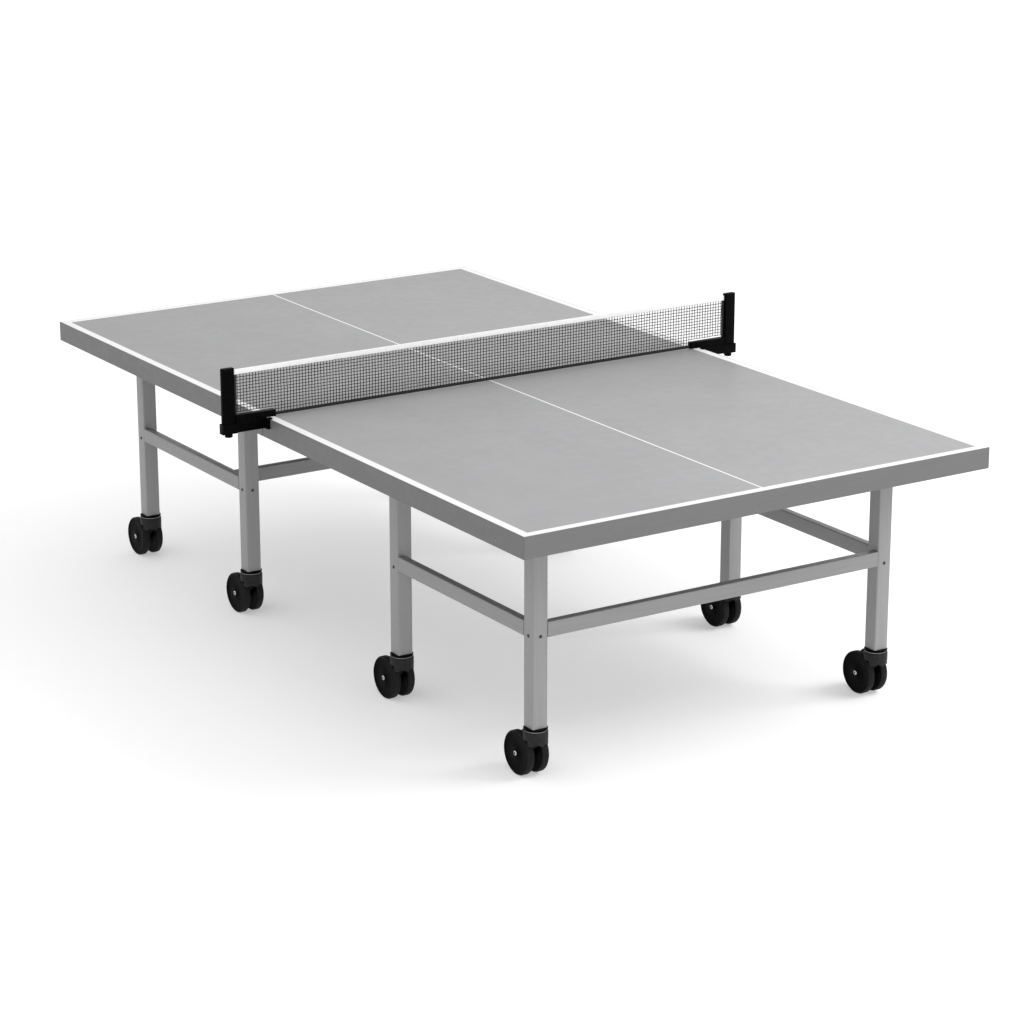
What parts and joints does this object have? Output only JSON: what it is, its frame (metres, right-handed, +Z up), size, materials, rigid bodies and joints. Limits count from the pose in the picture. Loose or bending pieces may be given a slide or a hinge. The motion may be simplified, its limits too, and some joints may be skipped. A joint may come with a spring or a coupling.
{
  "type": "ping pong table",
  "caption": "Grey ping pong table in two halves on square legs with twin-wheel swivel castors, with white lines and a black net held by side posts.",
  "frame": {"origin": "on the floor, under the middle of the table", "axes": "+X along the net, +Y from the near end to the far end, +Z up"},
  "size_m": [1.801, 2.74, 0.9185],
  "materials": {
    "grey_board": "matt sprayed grey with white lines",
    "apron_steel": "satin grey",
    "leg_steel": "satin silver grey",
    "black_nylon": "satin black moulding",
    "wheel_black": "matt black",
    "bright_steel": "bright zinc",
    "net_cord": "knotted square mesh",
    "black_webbing": "woven band",
    "white_tape": "woven cotton tape"
  },
  "bodies": {
    "near_half": {"near_top_panel": "grey_board", "near_apron": "apron_steel", "near_cross_rail": "leg_steel", "near_left_rail": "leg_steel", "near_right_rail": "leg_steel", "left_net_bracket": "black_nylon", "right_net_bracket": "black_nylon", "near_end_left_leg": "leg_steel", "near_end_right_leg": "leg_steel", "near_net_left_leg": "leg_steel", "near_net_right_leg": "leg_steel"},
    "far_half": {"far_top_panel": "grey_board", "far_apron": "apron_steel", "far_cross_rail": "leg_steel", "far_left_rail": "leg_steel", "far_right_rail": "leg_steel", "far_end_left_leg": "leg_steel", "far_end_right_leg": "leg_steel", "far_net_left_leg": "leg_steel", "far_net_right_leg": "leg_steel"},
    "net_set": {"left_net_post": "black_nylon", "right_net_post": "black_nylon", "net_mesh": "net_cord", "net_tape": "white_tape", "net_bottom_band": "black_webbing"},
    "left_screw": {"left_height_screw": "black_nylon"},
    "right_screw": {"right_height_screw": "black_nylon"},
    "near_end_left_castor": {"near_end_left_castor_fork": "black_nylon", "near_end_left_castor_axle": "bright_steel"},
    "near_end_left_wheel_left": {"near_end_left_wheel_left": "wheel_black"},
    "near_end_left_wheel_right": {"near_end_left_wheel_right": "wheel_black"},
    "near_end_right_castor": {"near_end_right_castor_fork": "black_nylon", "near_end_right_castor_axle": "bright_steel"},
    "near_end_right_wheel_left": {"near_end_right_wheel_left": "wheel_black"},
    "near_end_right_wheel_right": {"near_end_right_wheel_right": "wheel_black"},
    "near_net_left_castor": {"near_net_left_castor_fork": "black_nylon", "near_net_left_castor_axle": "bright_steel"},
    "near_net_left_wheel_left": {"near_net_left_wheel_left": "wheel_black"},
    "near_net_left_wheel_right": {"near_net_left_wheel_right": "wheel_black"},
    "near_net_right_castor": {"near_net_right_castor_fork": "black_nylon", "near_net_right_castor_axle": "bright_steel"},
    "near_net_right_wheel_left": {"near_net_right_wheel_left": "wheel_black"},
    "near_net_right_wheel_right": {"near_net_right_wheel_right": "wheel_black"},
    "far_end_left_castor": {"far_end_left_castor_fork": "black_nylon", "far_end_left_castor_axle": "bright_steel"},
    "far_end_left_wheel_left": {"far_end_left_wheel_left": "wheel_black"},
    "far_end_left_wheel_right": {"far_end_left_wheel_right": "wheel_black"},
    "far_end_right_castor": {"far_end_right_castor_fork": "black_nylon", "far_end_right_castor_axle": "bright_steel"},
    "far_end_right_wheel_left": {"far_end_right_wheel_left": "wheel_black"},
    "far_end_right_wheel_right": {"far_end_right_wheel_right": "wheel_black"},
    "far_net_left_castor": {"far_net_left_castor_fork": "black_nylon", "far_net_left_castor_axle": "bright_steel"},
    "far_net_left_wheel_left": {"far_net_left_wheel_left": "wheel_black"},
    "far_net_left_wheel_right": {"far_net_left_wheel_right": "wheel_black"},
    "far_net_right_castor": {"far_net_right_castor_fork": "black_nylon", "far_net_right_castor_axle": "bright_steel"},
    "far_net_right_wheel_left": {"far_net_right_wheel_left": "wheel_black"},
    "far_net_right_wheel_right": {"far_net_right_wheel_right": "wheel_black"}
  },
  "joints": [
    {"name": "halves_apart", "type": "slide", "parent": "near_half", "child": "far_half", "axis": [0, 1, 0], "range_m": [0, 0.6]},
    {"name": "net_height", "type": "slide", "parent": "near_half", "child": "net_set", "axis": [0, 0, 1], "range_m": [0, 0.006]},
    {"name": "left_screw_turn", "type": "hinge", "parent": "near_half", "child": "left_screw", "pos_m": [-0.8775, -0.012, 0.72], "axis": [0, 0, -1], "range_deg": [0, 720]},
    {"name": "right_screw_turn", "type": "hinge", "parent": "near_half", "child": "right_screw", "pos_m": [0.8775, -0.012, 0.72], "axis": [0, 0, -1], "range_deg": [0, 720]},
    {"name": "near_end_left_swivel", "type": "hinge", "parent": "near_half", "child": "near_end_left_castor", "pos_m": [-0.576, -1.14, 0.142], "axis": [0, 0, 1], "continuous": true},
    {"name": "near_end_left_roll_left", "type": "hinge", "parent": "near_end_left_castor", "child": "near_end_left_wheel_left", "pos_m": [-0.576, -1.096, 0.062], "axis": [1, 0, 0], "continuous": true},
    {"name": "near_end_left_roll_right", "type": "hinge", "parent": "near_end_left_castor", "child": "near_end_left_wheel_right", "pos_m": [-0.576, -1.096, 0.062], "axis": [1, 0, 0], "continuous": true},
    {"name": "near_end_right_swivel", "type": "hinge", "parent": "near_half", "child": "near_end_right_castor", "pos_m": [0.576, -1.14, 0.142], "axis": [0, 0, 1], "continuous": true},
    {"name": "near_end_right_roll_left", "type": "hinge", "parent": "near_end_right_castor", "child": "near_end_right_wheel_left", "pos_m": [0.576, -1.096, 0.062], "axis": [1, 0, 0], "continuous": true},
    {"name": "near_end_right_roll_right", "type": "hinge", "parent": "near_end_right_castor", "child": "near_end_right_wheel_right", "pos_m": [0.576, -1.096, 0.062], "axis": [1, 0, 0], "continuous": true},
    {"name": "near_net_left_swivel", "type": "hinge", "parent": "near_half", "child": "near_net_left_castor", "pos_m": [-0.576, -0.45, 0.142], "axis": [0, 0, 1], "continuous": true},
    {"name": "near_net_left_roll_left", "type": "hinge", "parent": "near_net_left_castor", "child": "near_net_left_wheel_left", "pos_m": [-0.576, -0.406, 0.062], "axis": [1, 0, 0], "continuous": true},
    {"name": "near_net_left_roll_right", "type": "hinge", "parent": "near_net_left_castor", "child": "near_net_left_wheel_right", "pos_m": [-0.576, -0.406, 0.062], "axis": [1, 0, 0], "continuous": true},
    {"name": "near_net_right_swivel", "type": "hinge", "parent": "near_half", "child": "near_net_right_castor", "pos_m": [0.576, -0.45, 0.142], "axis": [0, 0, 1], "continuous": true},
    {"name": "near_net_right_roll_left", "type": "hinge", "parent": "near_net_right_castor", "child": "near_net_right_wheel_left", "pos_m": [0.576, -0.406, 0.062], "axis": [1, 0, 0], "continuous": true},
    {"name": "near_net_right_roll_right", "type": "hinge", "parent": "near_net_right_castor", "child": "near_net_right_wheel_right", "pos_m": [0.576, -0.406, 0.062], "axis": [1, 0, 0], "continuous": true},
    {"name": "far_end_left_swivel", "type": "hinge", "parent": "far_half", "child": "far_end_left_castor", "pos_m": [-0.576, 1.14, 0.142], "axis": [0, 0, 1], "continuous": true},
    {"name": "far_end_left_roll_left", "type": "hinge", "parent": "far_end_left_castor", "child": "far_end_left_wheel_left", "pos_m": [-0.576, 1.184, 0.062], "axis": [1, 0, 0], "continuous": true},
    {"name": "far_end_left_roll_right", "type": "hinge", "parent": "far_end_left_castor", "child": "far_end_left_wheel_right", "pos_m": [-0.576, 1.184, 0.062], "axis": [1, 0, 0], "continuous": true},
    {"name": "far_end_right_swivel", "type": "hinge", "parent": "far_half", "child": "far_end_right_castor", "pos_m": [0.576, 1.14, 0.142], "axis": [0, 0, 1], "continuous": true},
    {"name": "far_end_right_roll_left", "type": "hinge", "parent": "far_end_right_castor", "child": "far_end_right_wheel_left", "pos_m": [0.576, 1.184, 0.062], "axis": [1, 0, 0], "continuous": true},
    {"name": "far_end_right_roll_right", "type": "hinge", "parent": "far_end_right_castor", "child": "far_end_right_wheel_right", "pos_m": [0.576, 1.184, 0.062], "axis": [1, 0, 0], "continuous": true},
    {"name": "far_net_left_swivel", "type": "hinge", "parent": "far_half", "child": "far_net_left_castor", "pos_m": [-0.576, 0.45, 0.142], "axis": [0, 0, 1], "continuous": true},
    {"name": "far_net_left_roll_left", "type": "hinge", "parent": "far_net_left_castor", "child": "far_net_left_wheel_left", "pos_m": [-0.576, 0.494, 0.062], "axis": [1, 0, 0], "continuous": true},
    {"name": "far_net_left_roll_right", "type": "hinge", "parent": "far_net_left_castor", "child": "far_net_left_wheel_right", "pos_m": [-0.576, 0.494, 0.062], "axis": [1, 0, 0], "continuous": true},
    {"name": "far_net_right_swivel", "type": "hinge", "parent": "far_half", "child": "far_net_right_castor", "pos_m": [0.576, 0.45, 0.142], "axis": [0, 0, 1], "continuous": true},
    {"name": "far_net_right_roll_left", "type": "hinge", "parent": "far_net_right_castor", "child": "far_net_right_wheel_left", "pos_m": [0.576, 0.494, 0.062], "axis": [1, 0, 0], "continuous": true},
    {"name": "far_net_right_roll_right", "type": "hinge", "parent": "far_net_right_castor", "child": "far_net_right_wheel_right", "pos_m": [0.576, 0.494, 0.062], "axis": [1, 0, 0], "continuous": true}
  ],
  "couplings": [
    {"joint": "left_screw_turn", "follows": "net_height", "rad_per_m": 2094.4},
    {"joint": "right_screw_turn", "follows": "net_height", "rad_per_m": 2094.4}
  ]
}
